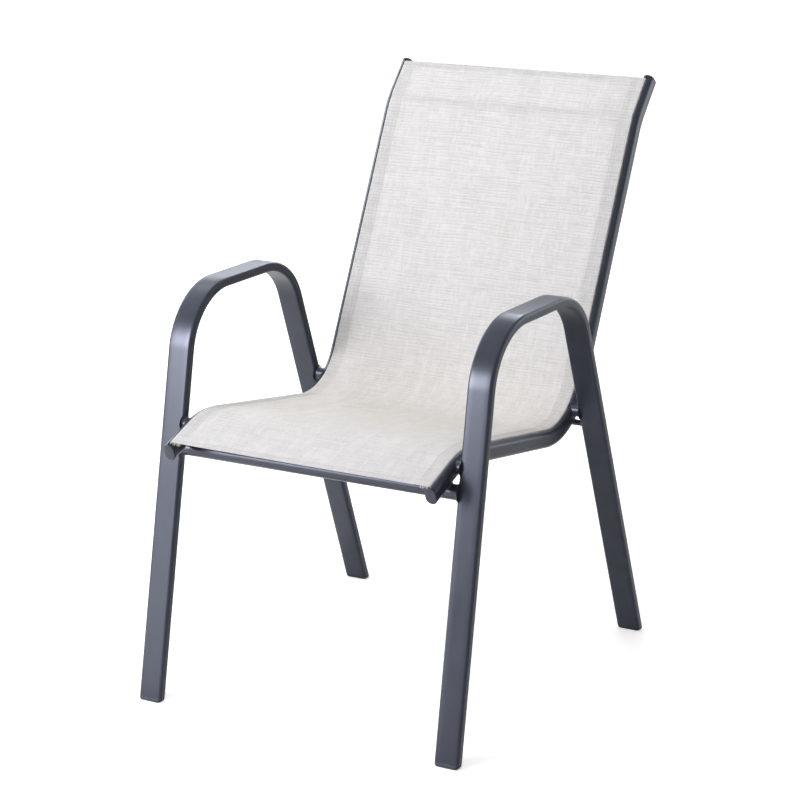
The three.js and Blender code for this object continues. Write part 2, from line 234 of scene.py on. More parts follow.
def ramp(tree, factor, low, high, fromValue, toValue):
    # low + (high - low) * how far the factor is from one value to the other, kept between them
    return node(tree, "MapRange", {"clamp": True}, Value=factor, From_Min=fromValue, From_Max=toValue,
                To_Min=low, To_Max=high).outputs[0]


def blendColour(tree, factor, *pair):
    a, b = ((*c, 1) if isinstance(c, tuple) else c for c in pair)
    return node(tree, "Mix", {"data_type": "RGBA"}, i0=factor, i6=a, i7=b).outputs[2]


def noise(tree, place, scale, detail, roughness):
    return node(tree, "TexNoise", Vector=place, Scale=scale, Detail=detail, Roughness=roughness).outputs[0]


def mottled(tree, look, factor):
    return blendColour(tree, ramp(tree, factor, 0, 1, *look["cloudSpan"]), look["colour"], look["other"])


def glossy(tree, look, colour, rough, height, **more):
    strength, distance = look["bump"]
    bump = node(tree, "Bump", Strength=strength, Distance=distance, Height=height)
    return node(tree, "BsdfPrincipled", Base_Color=colour, Roughness=rough, Normal=bump.outputs[0],
                Specular_IOR_Level=look["level"], Specular_Tint=(*look["tint"], 1), **more).outputs[0]


# Noises are scale, detail and roughness; a bump is strength and height in metres; a span cuts a noise or distance
powderCoat = {
    "colour": (0.0288, 0.0324, 0.0445), "other": (0.0358, 0.0400, 0.0540),
    "cloud": (14.0, 4.0, 0.55), "cloudSpan": (0.35, 0.65),
    "fleck": (0.062, 0.068, 0.086), "fleckScale": 1500.0, "fleckShare": 0.35, "fleckSpan": (0.0, 0.22),
    "roughness": (0.29, 0.35), "roughSpan": (0.3, 0.7),
    "tint": (0.76, 0.80, 1.0), "level": 0.265,
    "peel": (620.0, 2.0, 0.5), "bump": (0.5, 0.00003),
    # where edges have been rubbed
    "worn": (0.070, 0.076, 0.090), "wear": 0.25, "wornRoughness": 0.09,
    "scuff": (55.0, 5.0, 0.7), "scuffSpan": (0.46, 0.70),
}


def powderCoated(tree):
    look, place = powderCoat, node(tree, "TexCoord").outputs["Object"]
    cloud, grain, scuff = (noise(tree, place, *look[k]) for k in ("cloud", "peel", "scuff"))
    fleck = node(tree, "TexVoronoi", {"feature": "F1"}, Vector=place, Scale=look["fleckScale"], Randomness=1.0)
    flecks = ramp(tree, fleck.outputs["Distance"], look["fleckShare"], 0.0, *look["fleckSpan"])
    rub = node(tree, "Attribute", {"attribute_name": "rub"}).outputs["Fac"]
    wear = maths(tree, "MULTIPLY", rub, ramp(tree, scuff, 0, look["wear"], *look["scuffSpan"]))
    colour = blendColour(tree, flecks, mottled(tree, look, cloud), look["fleck"])
    colour = blendColour(tree, wear, colour, look["worn"])
    smooth = ramp(tree, cloud, *look["roughness"], *look["roughSpan"])
    return glossy(tree, look, colour, maths(tree, "MULTIPLY_ADD", wear, look["wornRoughness"], smooth), grain)


endPlastic = {
    "colour": (0.026, 0.030, 0.037), "other": (0.035, 0.039, 0.047),
    "cloud": (90.0, 3.0, 0.5), "cloudSpan": (0.35, 0.7),
    "roughness": (0.44, 0.56), "roughSpan": (0.3, 0.7),
    "tint": powderCoat["tint"], "level": 0.28,
    "grain": (2100.0, 3.0, 0.6), "bump": (0.6, 0.00005),
}


def mouldedPlastic(tree):
    look, place = endPlastic, node(tree, "TexCoord").outputs["Object"]
    grain, cloud = (noise(tree, place, *look[k]) for k in ("grain", "cloud"))
    rough = ramp(tree, grain, *look["roughness"], *look["roughSpan"])
    return glossy(tree, look, mottled(tree, look, cloud), rough, grain)


cloth = {
    "colour": (0.786, 0.782, 0.798), "other": (0.758, 0.754, 0.766), "cloudSpan": (0.3, 0.7),
    "dark": (0.54, 0.525, 0.530), "warm": (0.72, 0.695, 0.67), "light": (0.95, 0.935, 0.945),
    "through": (0.80, 0.76, 0.71), "throughMix": 0.5,
    "pitch": 0.00125,       # yarn to yarn
    "rowGap": 0.0052,       # thick weft to thick weft
    "wander": 14.0,         # how far the thick wefts' phase wanders, in radians
    "present": (0.42, 0.58),
    "open": (0.31, 0.41),   # how far from a crossing of gaps the holes fade out
    "share": 0.28,          # share of light that goes through the yarns
    "roughness": 0.72, "tint": (1.0, 1.0, 1.0), "level": 0.25, "sheen": 0.08,
    "overUnder": 0.5, "bump": (0.7, 0.00018),
    # streaks: repeats a metre across and along, seed, where the tone starts and is full, tone, strength
    "streaks": [(14, 420, 3.1, 0.56, 0.68, "dark", 0.24), (14, 420, 3.1, 0.44, 0.32, "light", 0.30),
                (5, 240, 9.4, 0.54, 0.70, "warm", 0.22), (34, 560, 12.2, 0.58, 0.72, "dark", 0.20),
                (300, 75, 17.7, 0.58, 0.72, "dark", 0.22), (300, 75, 19.3, 0.58, 0.70, "light", 0.28),
                (120, 26, 27.1, 0.54, 0.68, "light", 0.26), (36, 5, 61.0, 0.48, 0.62, "light", 0.14),
                (90, 330, 31.5, 0.64, 0.76, "dark", 0.36)],
    # thick wefts: phase, where the tone starts and is full, tone, strength
    "wefts": [(0.0, 0.62, 0.95, "dark", 0.48), (1.7, 0.62, 0.95, "light", 0.58)],
    # the seat, by metres along the cloth from its front: it takes a painted warm shade, and its lines are fainter
    "seatStarts": (0.04, 0.20), "seatEnds": (0.40, 0.56),
    "paintedWarmShade": (0.785, 0.758, 0.690), "paintedWarmShadeShare": 0.55,
    "seatLines": 0.5,       # how strong the lines are on the seat, against 1 on the back
}


def wovenCloth(tree):
    # UV is metres across and along the cloth. Slub lines are noise drawn out along the yarn.
    uv = node(tree, "UVMap", {"uv_map": "cloth"}).outputs[0]
    acrossIt, alongIt = node(tree, "SeparateXYZ", Vector=uv).outputs[:2]

    def streaks(across, along, seed, detail=1.5):
        stretched = node(tree, "Mapping", Vector=uv, Location=(seed, seed * 0.7, seed * 1.3), Scale=(across, along, 1))
        return node(tree, "TexNoise", {"noise_dimensions": "2D"}, Vector=stretched.outputs[0], Scale=1.0,
                    Detail=detail, Roughness=0.55).outputs[0]

    tone = mottled(tree, cloth, streaks(9, 9, 23.0, 3.0))
    # painted warm shade: over the seat the tone is drawn towards a warmer, darker one, which stands in for the shade
    # and warm light under the backrest
    seat = maths(tree, "MULTIPLY", ramp(tree, alongIt, 0, 1, *cloth["seatStarts"]),
                 ramp(tree, alongIt, 1, 0, *cloth["seatEnds"]))
    tone = blendColour(tree, maths(tree, "MULTIPLY", seat, cloth["paintedWarmShadeShare"]), tone, cloth["paintedWarmShade"])
    for across, along, seed, start, full, shade, strength in cloth["streaks"]:
        streaked = ramp(tree, streaks(across, along, seed), 0, strength, start, full)
        tone = blendColour(tree, streaked, tone, cloth[shade])
    # thick wefts: sin of the place along in row gaps, its phase wandering slowly, each row coming and going across
    wander = maths(tree, "MULTIPLY", streaks(5, 14, 41.0), cloth["wander"])
    onBack = ramp(tree, alongIt, cloth["seatLines"], 1, *cloth["seatEnds"])
    rowsSeen = ramp(tree, streaks(17, 1 / cloth["rowGap"], 53.0), 0, 1, *cloth["present"])
    present = maths(tree, "MULTIPLY", rowsSeen, onBack)
    for phase, start, full, shade, strength in cloth["wefts"]:
        shifted = maths(tree, "ADD", wander, phase)
        rows = maths(tree, "SINE", maths(tree, "MULTIPLY_ADD", alongIt, 2 * math.pi / cloth["rowGap"], shifted))
        thick = maths(tree, "MULTIPLY", ramp(tree, rows, 0, strength, start, full), present)
        tone = blendColour(tree, thick, tone, cloth[shade])

    # over and under: sin of the place across times sin of the place along, in yarn pitches
    u, v = (maths(tree, "SINE", maths(tree, "MULTIPLY", k, math.pi / cloth["pitch"])) for k in (acrossIt, alongIt))
    weave = maths(tree, "MULTIPLY", u, v)
    ridges = maths(tree, "MAXIMUM", maths(tree, "ABSOLUTE", u), maths(tree, "ABSOLUTE", v))
    height = maths(tree, "ADD", maths(tree, "MULTIPLY", weave, cloth["overUnder"]), ridges)
    hole = ramp(tree, ridges, 1, 0, *cloth["open"])
    front = glossy(tree, cloth, tone, cloth["roughness"], height, Sheen_Weight=cloth["sheen"])
    behind = node(tree, "BsdfTranslucent", Color=blendColour(tree, cloth["throughMix"], tone, cloth["through"]))
    yarn = node(tree, "MixShader", i0=cloth["share"], i1=front, i2=behind.outputs[0])
    gap = node(tree, "BsdfTransparent")
    return node(tree, "MixShader", i0=hole, i1=yarn.outputs[0], i2=gap.outputs[0]).outputs[0]


plain = {"cloudSpan": (0.3, 0.7), "tint": (1.0, 1.0, 1.0), "level": 0.5, "bump": (0.5, 0.00006)}
thread = {**plain, "colour": (0.70, 0.69, 0.67), "other": (0.602, 0.5934, 0.5762), "roughness": 0.8,
          "grain": (2600.0, 3.0, 0.5)}
splineRod = {**plain, "colour": (0.72, 0.72, 0.71), "other": (0.6192, 0.6192, 0.6106), "roughness": 0.5,
             "grain": (240.0, 3.0, 0.5)}


def plainly(tree, look):
    grain = noise(tree, node(tree, "TexCoord").outputs["Object"], *look["grain"])
    return glossy(tree, look, mottled(tree, look, grain), look["roughness"], grain)


finishes = {key: built(bpy.data.materials.new(name), surface, *look) for key, name, surface, *look in (
    ("frame", "powder_coat", powderCoated), ("cap", "moulded_plastic", mouldedPlastic),
    ("sling", "woven_sling", wovenCloth), ("thread", "sewing_thread", plainly, thread),
    ("spline", "spline_rod", plainly, splineRod))}
print("materials made")


def meshPiece(name, slot, points, faces, *nodes, finish=None, uv=None, smooth=40.0, rub=None):
    # Points become metres in the shared frame. nodes are the CAD's, uv is u and v, rub how exposed each point is.
    points = np.array(points, float).reshape(-1, 3) + (0, frontFootDepth, 0)
    mesh = bpy.data.meshes.new(name)
    mesh.from_pydata((points * mm).tolist(), [], faces)
    if uv is not None:
        spots = np.stack(np.broadcast_arrays(*uv), -1).reshape(-1, 2)[np.array(faces)]
        mesh.uv_layers.new(name="cloth").data.foreach_set("uv", np.asarray(spots, np.float32).ravel())
    if rub is not None:
        exposed = mesh.attributes.new("rub", "FLOAT", "POINT")
        exposed.data.foreach_set("value", np.asarray(rub, np.float32))
    mesh.polygons.foreach_set("use_smooth", np.ones(len(mesh.polygons), bool))
    mesh.update()
    mesh.set_sharp_from_angle(angle=math.radians(smooth))
    mesh.materials.append(finishes[finish or slot])
    piece = bpy.data.objects.new(name, mesh)
    scene.collection.objects.link(piece)
    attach(piece, "root")
    if nodes:
        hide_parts(*nodes)
    return piece


# The arm loops: each is a flat tube bent twice, leg and arm in one
armLoop = {
    "corners": [(0, 0), (131, 616.5), (396, 612), (614, 0)],
    "radii": [106, 97],
    "width": 40, "depth": 15, "corner": 4.4, "wall": 1.2,
    "middle": 260,
    "lean": 0.0042,     # the loops lean in towards the seat by this much per height
    "endHeight": 5.8,
    "runStep": 12,
}
loopLine = bentLine(armLoop["corners"], armLoop["radii"], armLoop["runStep"])
loopOutline = roundedOutline(armLoop["width"], armLoop["depth"], armLoop["corner"])
loopInline = roundedOutline(*(armLoop[k] - 2 * armLoop["wall"] for k in ("width", "depth")),
                            armLoop["corner"] - armLoop["wall"])
loopCorners = np.array(armLoop["corners"], float)
legs = (("front", loopCorners[:2]), ("rear", loopCorners[3:1:-1]))


def legHeading(leg):
    return (leg[1] - leg[0]) / np.linalg.norm(leg[1] - leg[0])


def legMiddle(height):
    return armLoop["middle"] - armLoop["lean"] * height


def leant(grid):
    # Every point moves towards the middle plane by the lean times its height
    grid = grid.copy()
    grid[..., 0] -= np.sign(grid[..., 0]) * armLoop["lean"] * grid[..., 2]
    return grid


def loopSkin(section, x):
    # The end rows slide along the loop's heading until they lie in a level plane
    grid, height = carried(loopLine, section, x), armLoop["endHeight"]
    for row in (0, -1):
        heading = loopLine["along"][row]
        slide = (height - grid[row, :, 2]) / heading[1]
        grid[row, :, 1] += slide * heading[0]
        grid[row, :, 2] = height
    return grid


for side, sign in sides:
    # outer skin up, inner skin back down: one grid that closes on itself both ways
    outer, inner = (loopSkin(section, sign * armLoop["middle"]) for section in (loopOutline, loopInline))
    grid = leant(np.concatenate([outer, inner[::-1]]))
    faces = outwards(grid, quads(*grid.shape[:2], ringRows=True))
    rub = np.tile(rubbed(loopOutline), len(grid))
    meshPiece(f"{side}ArmLoop", "frame", grid, faces, f"{side}_arm_loop", rub=rub)
print("arm loops made")

foot = {
    "height": 5.5,
    "edge": 3.6,        # rounding of the lower corners seen from the front
    "edgeDepth": 0.7,   # rounding towards front and back
    "relief": 0.25,
    "shoulder": 0.4, "shoulderIn": (0.01, 0.02),    # shares of the half width and half depth
    "fit": 0.4, "grip": 0.25,
    "ribs": 4, "ribRings": 6,
    "insert": 29.0,
}


def levelRings(leg, x, rise, wide, deep):
    # Rings up the leg's slant, each the loop's outline drawn in by two shares
    heading = legHeading(leg)
    lean = heading[0] / heading[1]
    stretch = 1 / heading[1]  # a level cut through a leaning tube is deeper than the tube
    across = x + loopOutline[:, 0] * wide[:, None]
    depth = leg[0][0] + (rise * lean)[:, None] + loopOutline[:, 1] * deep[:, None] * stretch
    return np.stack(np.broadcast_arrays(across, depth, rise[:, None]), -1)


def footGrid(leg, x):
    # The foot is drawn in by a quarter round near the floor; its plug in the tube swells and shrinks by its ribs
    halfWidth, halfDepth, edge = armLoop["width"] / 2, armLoop["depth"] / 2, foot["edge"]
    rise = np.concatenate([edge * (1 - np.cos(np.radians(np.linspace(0, 90, 9)))),
                           [foot["height"] - foot["shoulder"], foot["height"]]])
    drawn = np.sqrt(np.maximum(0, edge ** 2 - np.maximum(0, edge - rise) ** 2))
    wide = 1 - (edge - np.where(rise < edge, drawn, edge) + foot["relief"]) / halfWidth
    deep = 1 - foot["edgeDepth"] * np.maximum(0, 1 - rise / foot["edgeDepth"]) ** 2 / halfDepth
    wide[-1] -= foot["shoulderIn"][0]
    deep[-1] -= foot["shoulderIn"][1]
    plugRise = np.linspace(foot["height"], foot["insert"], foot["ribRings"] * foot["ribs"])
    swell = foot["grip"] * np.cos(np.linspace(0, 2 * math.pi * foot["ribs"], len(plugRise)))
    shrink = armLoop["wall"] + foot["fit"] - swell
    return np.concatenate([levelRings(leg, x, rise, wide, deep),
                           levelRings(leg, x, plugRise, 1 - shrink / halfWidth, 1 - shrink / halfDepth)])


for end, leg in legs:
    for side, sign in sides:
        grid = leant(footGrid(leg, sign * armLoop["middle"]))
        meshPiece(f"{end}{side.capitalize()}Foot", "cap", grid, capped(grid), f"{end}_{side}_foot")
print("feet made")

# The rails that hold the sling
rail = {
    "corners": [(25.6, 397.0), (112.9, 429.0), (465, 367), (696.6, 822), (748.2, 877.2)],
    "radii": [124, 113.5, 130],
    "middle": 221,
    "splay": 3.0,       # how much further out the nose is than the back
    "width": 18, "depth": 27, "wall": 1.2,
    "slot": 2.6, "channel": 8.4, "roof": 1.5, "floor": 1.3,
    "lip": 0.35,   # rounding of the slot's two lips
    "runStep": 9,
    "smooth": 30,
}
railLine = bentLine(rail["corners"], rail["radii"], rail["runStep"])
railRadius = rail["width"] / 2
railArcCentre = (rail["depth"] - rail["width"]) / 2
channelRadius = rail["channel"] / 2
channelCentre = rail["depth"] / 2 - rail["roof"] - channelRadius


def splayFactor(depth):
    # 1 at the seat-back corner, growing evenly to the nose, where the rails stand wider apart
    nose, seatBack = rail["corners"][1][0], rail["corners"][2][0]
    return 1 + rail["splay"] / rail["middle"] * np.clip((seatBack - depth) / (seatBack - nose), 0, 1)


def splayed(grid):
    grid = grid.copy()
    grid[..., 0] *= splayFactor(grid[..., 1])
    return grid


def slottedOutline():
    # The oval, opened at its top by the slot, runs down into the round channel and back
    halfSlot, lip = rail["slot"] / 2, rail["lip"]
    outerTurn = math.degrees(math.asin((halfSlot + lip) / railRadius))
    innerTurn = math.degrees(math.asin(halfSlot / channelRadius))
    lipTop = railArcCentre + math.sqrt(railRadius ** 2 - (halfSlot + lip) ** 2) - lip
    right = np.concatenate([arc(0, railArcCentre, railRadius, 0, 90 - outerTurn, 11),
                            arc(halfSlot + lip, lipTop, lip, 90, 180, 3)])
    channel = arc(0, channelCentre, channelRadius, 90 - innerTurn, -270 + innerTurn, 20)
    under = arc(0, -railArcCentre, railRadius, 180, 360, 20)[1:-1]
    return np.concatenate([right, channel, right[::-1] * (-1, 1), under])


def hollowOutline(shrink=0.0):
    # The rail's lower chamber: flat under the channel's floor, then a half circle
    half = railRadius - rail["wall"] - shrink
    top = channelCentre - channelRadius - rail["floor"] - shrink
    return np.concatenate([[(half, top), (0, top), (-half, top)], arc(0, -railArcCentre, half, 180, 360, 18)])


def faceNormals(corners):
    a, b, c = corners.transpose(1, 0, 2)
    return np.cross(b - a, c - a)


slotted, hollow = slottedOutline(), hollowOutline()
for side, sign in sides:
    skin, bore = (splayed(carried(railLine, section, sign * rail["middle"])) for section in (slotted, hollow))
    points = np.concatenate([skin.reshape(-1, 3), bore.reshape(-1, 3)])
    rows, boreStart = len(skin), skin.size // 3
    faces = quads(rows, len(slotted)) + [f[::-1] for f in quads(rows, len(hollow), first=boreStart)]
    # the first face shows which way they all point: it should point away from the rail's middle line
    corners = points[faces[0][:3]]
    away = corners.mean(0) - (sign * rail["middle"], *railLine["at"][0])
    if faceNormals(corners[None])[0] @ away < 0:
        faces = [f[::-1] for f in faces]
    for row in (0, rows - 1):
        ring = np.concatenate([row * len(slotted) + np.arange(len(slotted)),
                               boreStart + row * len(hollow) + np.arange(len(hollow))])
        tris = ring[np.array(tessellate_polygon([[Vector(p) for p in loop[row]] for loop in (skin, bore)]))]
        facing = faceNormals(points[tris])[:, 1:] @ railLine["along"][row] * (1 if row else -1)
        faces += [t if f > 0 else t[::-1] for t, f in zip(tris.tolist(), facing)]
    rub = np.concatenate([np.tile(rubbed(slotted), rows), np.zeros(rows * len(hollow))])
    meshPiece(f"{side}SlingRail", "frame", points, faces, f"{side}_sling_rail", smooth=rail["smooth"], rub=rub)
print("rails made")

endCap = {
    "thick": 3.0, "edge": 1.1, "gap": 0.3, "chamfer": 0.3, "inset": 0.05,
    "plug": 16.0, "fit": 0.4, "tip": 1.0, "taper": 0.96,
}


def ovalRing(height, grow, steps=16):
    # Two half circles of the rail's half width, joined by its flat sides
    radius = railRadius + grow
    oval = np.concatenate([arc(0, middle, radius, turn, turn + 180, steps)
                           for middle, turn in ((railArcCentre, 0), (-railArcCentre, 180))])
    return atLevel(oval, height)


def capGrids():
    # Rings along the rail's axis: shoulder, then an edge rounded by a quarter circle onto the flat face; the plug
    gap, inset, edge, chamfer = (endCap[k] for k in ("gap", "inset", "edge", "chamfer"))
    head = [ovalRing(gap, -inset - chamfer), ovalRing(gap + chamfer, -inset)]
    for a in np.radians(np.linspace(0, 90, 7)):
        head.append(ovalRing(endCap["thick"] + gap - edge * (1 - math.sin(a)), -inset - edge * (1 - math.cos(a))))
    section = hollowOutline(endCap["fit"])
    steps = ((-endCap["plug"], endCap["taper"]), (-endCap["plug"] + endCap["tip"], 1), (gap, 1))
    return np.array(head), np.array([atLevel(section * scale, height) for height, scale in steps])


def onRailEnd(rings, row, direction, sign):
    # Section x stays along X, section y lies along the rail's normal and height along its axis
    at, along, out = (railLine[key][row] for key in ("at", "along", "out"))
    spots = at + rings[..., 1:2] * out + rings[..., 2:3] * (along * direction)
    return splayed(standing(sign * rail["middle"] + rings[..., 0], spots))


for side, sign in sides:
    for end, row, direction in (("nose", 0, -1), ("top", -1, 1)):
        solid = joined([onRailEnd(rings, row, direction, sign) for rings in capGrids()])
        meshPiece(f"{side}{end.capitalize()}Cap", "cap", *solid, f"{side}_{end}_cap")
print("end caps made")

sling = {
    "thick": 0.6, "layerEase": 0.03,
    "frontSetback": 5.4, "topSetback": 4.0,
    "lift": 0.2,
    "bend": 1.5,         # radius of the cloth's turn into the slot
    "bendIn": 0.8,       # how far short of the slot's middle that turn ends
    "flap": 24.0,        # width of the sewn-back edge
    "spline": 2.5, "pocket": 0.12,
    "sag": [(0, -0.4), (95, -1.1), (260, -2.6), (420, -1.0), (520, 1.6), (640, -0.6), (900, -1.2), (1060, -0.6),
            (1200, -0.2)],
    "sagEdge": 3.0,
    "pucker": 0.10, "puckerWide": 9.0,
    "askew": 3.9, "askewRun": 55.0,   # the front end runs this much further forward at the right, fading out
    "rowStep": 4.0,
    "smooth": 50,
}
slingCorners = np.array(rail["corners"], float)
for row, beside, setback in ((0, 1, "frontSetback"), (-1, -2, "topSetback")):
    run = slingCorners[beside] - slingCorners[row]
    slingCorners[row] += run * sling[setback] / np.linalg.norm(run)
slingLine = bentLine(slingCorners, rail["radii"], sling["rowStep"])
half = sling["thick"] / 2
lower = rail["depth"] / 2 + sling["lift"] + half          # middle of the cloth's under layer
layerGap = sling["thick"] + sling["layerEase"]
upper = lower + layerGap
bendX = rail["middle"] - sling["bend"] - sling["bendIn"]
bendY = lower - sling["bend"]
wrap = sling["spline"] + sling["pocket"] + half
wrapStart, wrapEnd = (math.degrees(math.acos((bendX + sling["bend"] + more - rail["middle"]) / wrap))
                      for more in (0, layerGap))


def slingProfile():
    # Right half, from the sewn-back edge: out to the slot, down, round the rod, up, and back over to the middle
    flap = atLevel(np.linspace(rail["middle"] - sling["flap"], bendX, 7)[:-1], lower)
    into = arc(bendX, bendY, sling["bend"], 90, 0, 5)
    around = arc(rail["middle"], channelCentre, wrap, wrapStart, 360 + wrapEnd, 16)
    out = arc(bendX, bendY, sling["bend"] + layerGap, 0, 90, 6)
    top = atLevel(np.linspace(bendX, 0, 34)[1:], upper)
    right = np.concatenate([flap, into, around, out, top])
    return np.concatenate([right, right[:-1][::-1] * (-1, 1)])


def thickened(line):
    # Half the cloth's thickness to one side of the line, then back on the other
    along = np.gradient(line, axis=0)
    along /= np.linalg.norm(along, axis=1, keepdims=True)
    aside = quarterTurn(along) * half
    return np.concatenate([line + aside, (line - aside)[::-1]])


def thereAndBack(line):
    length = runLength(line) * mm
    return np.concatenate([length, length[::-1]])


def deflection(x, s):
    # Sag along the cloth, faded to nothing at the rails by 1 - (x / edge)^2, plus small puckers beside the seams
    s, x = np.broadcast_arrays(s, x)
    depth = np.interp(s, *np.array(sling["sag"]).T)
    share = np.clip(1 - (x / (rail["middle"] - sling["sagEdge"])) ** 2, 0, None)
    seam = np.exp(-((np.abs(x) - (rail["middle"] - sling["flap"])) / sling["puckerWide"]) ** 2)
    ripple = np.sin(s / 5.1 + 1.7 * np.sin(s / 37)) * np.sin(s / 83 + np.sign(x))
    return depth * share + sling["pucker"] * seam * ripple


def pulled(x, s):
    # How far forward a point of the cloth is drawn: from none at the left edge to all at the right one
    drawn = sling["askew"] * (x / rail["middle"] + 1) / 2 * np.clip(1 - s / sling["askewRun"], 0, 1)
    return slingLine["along"][0] * drawn[..., None]


middleLine = slingProfile()
around = thereAndBack(middleLine)
rowLength = slingLine["length"]
clothLength = runLength(slingLine["at"] + slingLine["out"] * upper)    # along the cloth itself, above the rail
outline = thickened(middleLine)
grid = carried(slingLine, outline)
push = deflection(outline[None, :, 0], rowLength[:, None]) * (outline[None, :, 1] > rail["depth"] / 2)
grid[..., 1:] += slingLine["out"][:, None] * push[..., None]
grid[..., 1:] -= pulled(grid[..., 0], rowLength[:, None])
slingPiece = meshPiece("slingCloth", "sling", splayed(grid), folded(grid), "sling", smooth=sling["smooth"],
                       uv=(around[None, :], clothLength[:, None] * mm))

hem = {"width": 10.0, "half": 195.0, "gap": 0.06, "ahead": 0.05, "stitchAt": 2.2, "stitchEnd": 4}
clothEnds = (("top", -1, 1), ("front", 0, -1))


def hemStrip(name, row, direction):
    # The cloth's end turned under: round the edge by a half circle, then back beneath for the hem's width
    at, along, out = (slingLine[key][row] for key in ("at", "along", "out"))
    fold = (sling["thick"] + hem["gap"]) / 2
    back = atLevel(np.linspace(0, -hem["width"], 7)[1:], -2 * fold)
    line = np.concatenate([arc(hem["ahead"], -fold, fold, 90, -90, 9), back])
    section = thickened(line)
    across = np.linspace(-hem["half"], hem["half"], 66)[:, None]
    height = upper + deflection(across, rowLength[row]) + section[None, :, 1]
    spots = at + along * direction * section[None, :, 0:1] + out * height[..., None]
    grid = standing(across, spots - pulled(across, rowLength[row]))
    middle = around[len(middleLine) // 2]
    uv = middle + across * mm, clothLength[row] * mm + direction * thereAndBack(line)[None, :]
    return meshPiece(name, "sling", splayed(grid), folded(grid), uv=uv, smooth=sling["smooth"])


hems = [hemStrip(f"sling{end.capitalize()}Hem", row, direction) for end, row, direction in clothEnds]


def threadPiece(name, points):
    # Many small tubes of one kind: points counts the tubes, each one's rings and the points of a ring
    count, rows, columns = points.shape[:3]
    ends = [tuple(range(columns))[::-1], tuple(range((rows - 1) * columns, rows * columns))]
    sample = outwards(points[0], quads(rows, columns) + ends)
    faces = [tuple(v + rows * columns * k for v in f) for k in range(count) for f in sample]
    return meshPiece(name, "sling", splayed(points), faces, finish="thread", smooth=80)


stitch = {
    "length": 3.0, "gap": 0.9, "radius": 0.24, "proud": 0.16, "blunt": 0.02,
    "lines": (("Inner", 3.0), ("Outer", 8.5)),      # distances from the sewn-back edge
}
stitchStep = stitch["length"] + stitch["gap"]


def stitchRun(name, spots, headings, normals):
    # One stitch is a flattened bead: its thickness is radius * sqrt(1 - t^4) at the share t of its half length
    t = np.linspace(-1, 1, 7)[:, None]
    angle = np.linspace(0, 2 * math.pi, 7)[:-1]
    thick = stitch["radius"] * np.sqrt(np.clip(1 - t ** 4, stitch["blunt"], None))
    reaches = (t * stitch["length"] / 2, thick * np.cos(angle), thick * np.sin(angle) + stitch["proud"] * (1 - t ** 4))
    points = spots[:, None, None]
    for axis, reach in zip((headings, np.cross(headings, normals), normals), reaches):
        points = points + axis[:, None, None] * reach[..., None]
    return threadPiece(name, points)


def alongLine(x, level):
    # Evenly spaced spots along the cloth at one distance from its middle
    s = np.interp(np.arange(stitchStep, clothLength[-1] - stitchStep, stitchStep), clothLength, rowLength)
    at, along = (np.stack([np.interp(s, rowLength, side) for side in slingLine[key].T], 1) for key in ("at", "along"))
    along /= np.hypot(*along.T)[:, None]
    normals = standing(0, quarterTurn(along))
    return standing(x, at) + normals * (level + deflection(x, s))[:, None], standing(0, along), normals


for side, sign in sides:
    for label, inset in stitch["lines"]:
        x = sign * (rail["middle"] - sling["flap"] + inset)
        for under, level, facing in (("", upper + half, 1), ("Under", lower - half, -1)):
            spots, headings, normals = alongLine(x, level)
            stitchRun(f"{side}Stitches{label}{under}", spots, headings, facing * normals)
for end, row, direction in clothEnds:
    across = np.arange(-hem["half"] + hem["stitchEnd"], hem["half"] - hem["stitchEnd"], stitchStep)
    at, along, out = (slingLine[key][row] for key in ("at", "along", "out"))
    base = at - along * (direction * (hem["width"] - hem["stitchAt"]))
    for under, level, facing in (("", upper + half, 1), ("Under", upper - half - layerGap, -1)):
        height = level + deflection(across, rowLength[row])
        spots = standing(across, base + out * height[:, None] - pulled(across, rowLength[row]))
        heading, normal = np.array([[1.0, 0, 0]]), facing * standing(0, out)[None]
        stitchRun(f"{end}HemStitches{under}", spots, heading, normal)

# Loose yarn ends at the front: three stretches, each from, to and how many
yarnEnd = {
    "left": (-219, -201, 20), "right": (206, 219, 13), "middle": (-195, 200, 16),
    "long": (2.2, 5.0),
    "short": 0.3, "shortWithin": 197,       # those between the corners are shorter
    "radius": 0.32, "taper": 0.55, "flat": (0.6, 0.8),
    "aside": 0.5, "curl": (0.2, 5),
    "ahead": (0.75, -0.35, 0.2), "fall": (0.25, 0.6, -0.2),    # per length by t and t^2, and where they start
    "seed": 5,
}


def yarnEnds(name):
    # Each end is a thin tapering tube along start + t * length * (forward, then down by t^2, aside by a slow sin)
    draw = np.random.default_rng(yarnEnd["seed"])
    xs = np.concatenate([draw.uniform(*yarnEnd[k]) for k in ("left", "right", "middle")])
    share = np.where(np.abs(xs) < yarnEnd["shortWithin"], yarnEnd["short"], 1)
    long = (draw.uniform(*yarnEnd["long"], len(xs)) * share)[:, None]
    heading, out = slingLine["along"][0], slingLine["out"][0]
    start = slingLine["at"][0] - pulled(xs, 0) + out * (upper - half + deflection(xs, 0))[:, None]
    t = np.linspace(0, 1, 5)
    wave, waves = yarnEnd["curl"]
    aside = draw.uniform(-yarnEnd["aside"], yarnEnd["aside"], len(xs))[:, None] * long * t
    ahead, fall = (long * (a * t + b * t ** 2) + c for a, b, c in (yarnEnd["ahead"], yarnEnd["fall"]))
    spots = start[:, None] - heading * ahead[..., None] + np.array([0, -1]) * fall[..., None]
    centre = standing(xs[:, None] + (aside + wave * np.sin(waves * t + xs[:, None])), spots)
    angle = np.linspace(0, 2 * math.pi, 6)[:-1]
    ring = np.stack([np.cos(angle), *(np.sin(angle) * k for k in yarnEnd["flat"])], 1)
    thick = yarnEnd["radius"] * (1 - yarnEnd["taper"] * t)
    return threadPiece(name, centre[:, :, None] + thick[:, None, None] * ring)


yarnEnds("frontYarnEnds")

# The rods that hold the sling's edges in the channels
rodSection = arc(0, channelCentre, sling["spline"], 0, 360, 18)[:-1]
for side, sign in sides:
    grid = carried(slingLine, rodSection, sign * rail["middle"])
    meshPiece(f"{side}Spline", "spline", splayed(grid), capped(grid), f"{side}_sling_spline")

